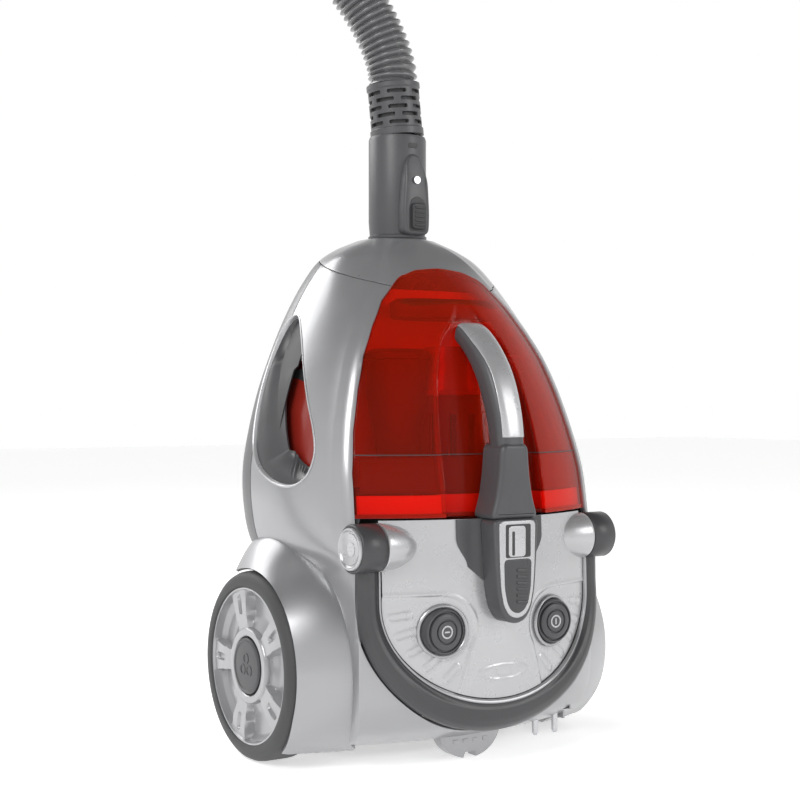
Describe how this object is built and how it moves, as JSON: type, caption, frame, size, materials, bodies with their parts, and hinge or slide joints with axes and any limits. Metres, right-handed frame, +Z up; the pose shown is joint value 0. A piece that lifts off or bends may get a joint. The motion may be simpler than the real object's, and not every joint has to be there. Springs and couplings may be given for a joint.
{
  "type": "canister vacuum cleaner",
  "caption": "Upright-parked canister vacuum cleaner with clear cyclone dust container, folding carry handle, big side wheels, foot buttons and corrugated hose.",
  "frame": {"origin": "floor level, at the middle of the machine's width and depth without its hose, standing on its rear end", "axes": "+Z up along the long axis, controls and container face -Y, running side with the caster faces +Y, left wheel at -X"},
  "size_m": [0.668, 0.5626, 0.6978],
  "materials": {
    "silver_shell": "satin metallic",
    "grey_shell": "fine moulded texture",
    "panel_silver": "satin metallic, lighter",
    "charcoal": "satin moulded",
    "charcoal_dark": "matte moulded",
    "tyre_grey": "matte",
    "rim_silver": "satin",
    "clear_red": "clear tinted",
    "red_plastic": "gloss",
    "dark_inside": "matte",
    "seal_rubber": "matte",
    "filter_paper": "pleated",
    "foam": "open foam",
    "steel": "turned",
    "winding": "lacquered winding",
    "reel_plastic": "plain",
    "cord_black": "matte",
    "hose_grey": "gloss corrugated"
  },
  "bodies": {
    "root": {"front_housing": "silver_shell", "rear_housing": "grey_shell", "nose_cover": "silver_shell", "control_panel": "panel_silver", "button_bezels": "panel_silver", "button_springs": "steel", "wheel_arches": "silver_shell", "window_liners": "charcoal_dark", "parking_foot": "silver_shell", "rear_feet": "seal_rubber", "axles": "steel", "wheel_bushes": "charcoal_dark", "caster_cup": "charcoal_dark", "bail_pins": "steel", "filter_housing": "charcoal_dark", "hepa_filter": "filter_paper", "motor_filter": "foam", "motor_case": "charcoal_dark", "stator": "winding", "motor_bearings": "steel", "reel_pin": "steel", "mains_plug": "charcoal_dark", "plug_pins": "steel", "cord_lead": "cord_black", "cord_outlet": "silver_shell", "power_switch": "charcoal_dark", "screws": "steel", "inlet_elbow": "charcoal_dark", "hose_connector": "charcoal", "hose_collar": "charcoal_dark", "hose_tube": "hose_grey", "hand_grip": "charcoal"},
    "wheel_left": {"tyre_left": "tyre_grey", "rim_left": "rim_silver", "hub_cap_left": "charcoal"},
    "wheel_right": {"tyre_right": "tyre_grey", "rim_right": "rim_silver", "hub_cap_right": "charcoal"},
    "caster": {"caster_fork": "charcoal", "caster_pin": "steel"},
    "caster_roller": {"caster_wheel": "tyre_grey"},
    "bail": {"bail_handle": "charcoal", "bail_caps": "panel_silver"},
    "container": {"dust_container": "clear_red", "bin_base": "red_plastic", "mesh_filter": "dark_inside", "cyclone_cone": "red_plastic", "bin_seal": "seal_rubber", "container_handle": "charcoal", "handle_inlay": "panel_silver", "latch_housing": "charcoal", "latch_bezel": "panel_silver"},
    "latch": {"latch_button": "charcoal_dark"},
    "power_key": {"power_button": "charcoal"},
    "rewind_key": {"rewind_button": "charcoal"},
    "fan": {"rotor": "winding"},
    "reel": {"cord_reel": "reel_plastic", "wound_cord": "cord_black"},
    "hose_latch": {"connector_latch": "charcoal_dark"},
    "slider": {"grip_slider": "panel_silver"}
  },
  "joints": [
    {"name": "wheel_left_spin", "type": "hinge", "parent": "root", "child": "wheel_left", "pos_m": [-0.13, 0.036, 0.07], "axis": [1, 0, 0], "continuous": true},
    {"name": "wheel_right_spin", "type": "hinge", "parent": "root", "child": "wheel_right", "pos_m": [0.13, 0.036, 0.07], "axis": [1, 0, 0], "continuous": true},
    {"name": "caster_swivel", "type": "hinge", "parent": "root", "child": "caster", "pos_m": [0, 0.085, 0.318], "axis": [0, 1, 0], "continuous": true},
    {"name": "caster_roll", "type": "hinge", "parent": "caster", "child": "caster_roller", "pos_m": [0, 0.093, 0.312], "axis": [1, 0, 0], "continuous": true},
    {"name": "bail_fold", "type": "hinge", "parent": "root", "child": "bail", "pos_m": [0, -0.0635, 0.163], "axis": [-1, 0, 0], "range_deg": [0, 75]},
    {"name": "container_lift", "type": "slide", "parent": "root", "child": "container", "axis": [0, -1, 0], "range_m": [0, 0.13]},
    {"name": "latch_press", "type": "slide", "parent": "container", "child": "latch", "axis": [0, 0, -1], "range_m": [0, 0.005], "stiffness_N_per_m": 400, "springref_m": -0.002},
    {"name": "power_press", "type": "slide", "parent": "root", "child": "power_key", "axis": [0, 1, 0], "range_m": [0, 0.004], "stiffness_N_per_m": 500, "springref_m": -0.002},
    {"name": "rewind_press", "type": "slide", "parent": "root", "child": "rewind_key", "axis": [0, 1, 0], "range_m": [0, 0.004], "stiffness_N_per_m": 500, "springref_m": -0.002},
    {"name": "hose_latch_press", "type": "slide", "parent": "root", "child": "hose_latch", "axis": [0, 1, 0], "range_m": [0, 0.002], "stiffness_N_per_m": 500, "springref_m": -0.002},
    {"name": "suction_slide", "type": "slide", "parent": "root", "child": "slider", "axis": [-0.3239, -0.9461, 0], "range_m": [0, 0.014]},
    {"name": "fan_spin", "type": "hinge", "parent": "root", "child": "fan", "pos_m": [-0.046, 0.014, 0.08], "axis": [0, 0, 1], "continuous": true},
    {"name": "reel_spin", "type": "hinge", "parent": "root", "child": "reel", "pos_m": [0.07, 0.024, 0.086], "axis": [1, 0, 0], "continuous": true}
  ]
}
